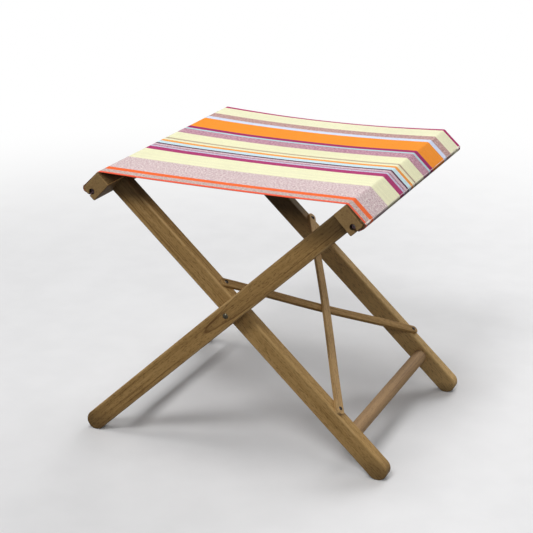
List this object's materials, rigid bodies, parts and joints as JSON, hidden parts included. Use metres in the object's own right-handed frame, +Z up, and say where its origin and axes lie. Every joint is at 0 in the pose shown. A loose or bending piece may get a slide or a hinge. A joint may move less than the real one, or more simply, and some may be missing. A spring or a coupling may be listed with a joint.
{
  "type": "folding camp stool",
  "caption": "Backless folding stool: crossed wooden leg frames on riveted pivots, with round stretchers, thin crossed braces and a striped canvas seat held in slotted top rails.",
  "frame": {"origin": "on the floor, below the middle of the pivot axis", "axes": "+X across the crossed legs towards the outer frame's top rail, +Y along the rails, +Z up"},
  "size_m": [0.4938, 0.438, 0.4326],
  "materials": {
    "frame_wood": "worn oil finish",
    "brace_wood": "worn oil finish",
    "canvas": "woven stripes",
    "rivet_metal": "dull, darkened",
    "screw_steel": "dull, darkened",
    "rod_steel": "plain drawn wire"
  },
  "bodies": {
    "outer_frame": {"outer_leg_front": "frame_wood", "outer_leg_rear": "frame_wood", "outer_top_rail": "frame_wood", "outer_stretcher": "frame_wood", "pivot_rivet_front": "rivet_metal", "pivot_spacer_front": "rivet_metal", "rivet_burr_front": "rivet_metal", "pivot_rivet_rear": "rivet_metal", "pivot_spacer_rear": "rivet_metal", "rivet_burr_rear": "rivet_metal", "outer_hem_rod": "rod_steel", "seat_canvas": "canvas"},
    "inner_frame": {"inner_leg_front": "frame_wood", "inner_leg_rear": "frame_wood", "inner_top_rail": "frame_wood", "inner_stretcher": "frame_wood", "brace_under": "brace_wood", "brace_over": "brace_wood", "brace_screws": "screw_steel", "inner_hem_rod": "rod_steel"}
  },
  "joints": [
    {"name": "fold", "type": "hinge", "parent": "outer_frame", "child": "inner_frame", "pos_m": [0, 0, 0.23052], "axis": [0, 1, 0], "range_deg": [0, 80], "deforming": ["seat_canvas"]}
  ]
}
